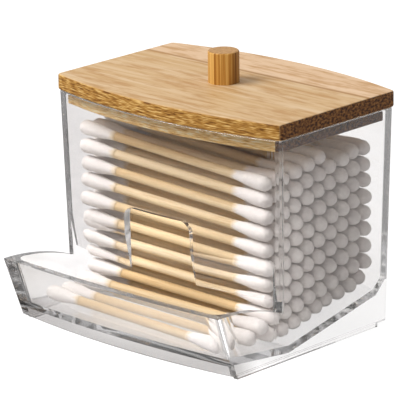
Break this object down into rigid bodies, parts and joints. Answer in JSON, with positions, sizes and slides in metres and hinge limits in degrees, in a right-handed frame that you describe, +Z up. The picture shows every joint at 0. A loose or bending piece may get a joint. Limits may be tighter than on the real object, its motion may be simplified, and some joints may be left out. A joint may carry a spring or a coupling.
{
  "type": "cotton swab box",
  "caption": "Clear plastic cotton swab dispenser with a scoop tray in front, a finger notch and a lift-off bamboo lid with a knob; filled with cotton swabs.",
  "frame": {"origin": "centre of the overall bounding box, at the underside of the feet", "axes": "+X to the right seen from the tray side, +Y from the tray towards the back, +Z up; the tray opens towards -Y"},
  "size_m": [0.089, 0.0822, 0.0806],
  "materials": {
    "clear_plastic": "clear, glossy",
    "bamboo": "satin, clear-coated bamboo",
    "swab_stick": "plain",
    "cotton": "fluffy, matt"
  },
  "bodies": {
    "box": {"box": "clear_plastic", "pile_layer_01_cotton": "cotton", "pile_layer_01_sticks": "swab_stick", "pile_layer_02_cotton": "cotton", "pile_layer_02_sticks": "swab_stick", "pile_layer_03_cotton": "cotton", "pile_layer_03_sticks": "swab_stick", "pile_layer_04_cotton": "cotton", "pile_layer_04_sticks": "swab_stick", "pile_layer_05_cotton": "cotton", "pile_layer_05_sticks": "swab_stick", "pile_layer_06_cotton": "cotton", "pile_layer_06_sticks": "swab_stick", "pile_layer_07_cotton": "cotton", "pile_layer_07_sticks": "swab_stick", "pile_layer_08_cotton": "cotton", "pile_layer_08_sticks": "swab_stick", "pile_layer_09_cotton": "cotton", "pile_layer_09_sticks": "swab_stick", "pile_layer_10_cotton": "cotton", "pile_layer_10_sticks": "swab_stick", "pile_layer_11_cotton": "cotton", "pile_layer_11_sticks": "swab_stick", "pile_layer_12_cotton": "cotton", "pile_layer_12_sticks": "swab_stick", "tray_swab_1_cotton": "cotton", "tray_swab_1_sticks": "swab_stick", "tray_swab_2_cotton": "cotton", "tray_swab_2_sticks": "swab_stick", "tray_swab_3_cotton": "cotton", "tray_swab_3_sticks": "swab_stick", "tray_swab_4_cotton": "cotton", "tray_swab_4_sticks": "swab_stick"},
    "lid": {"lid_insert": "bamboo", "lid_knob": "bamboo", "lid_plate": "bamboo"}
  },
  "joints": [
    {"name": "lid_lift", "type": "slide", "parent": "box", "child": "lid", "axis": [0, 0, 1], "range_m": [0, 0.03]}
  ]
}
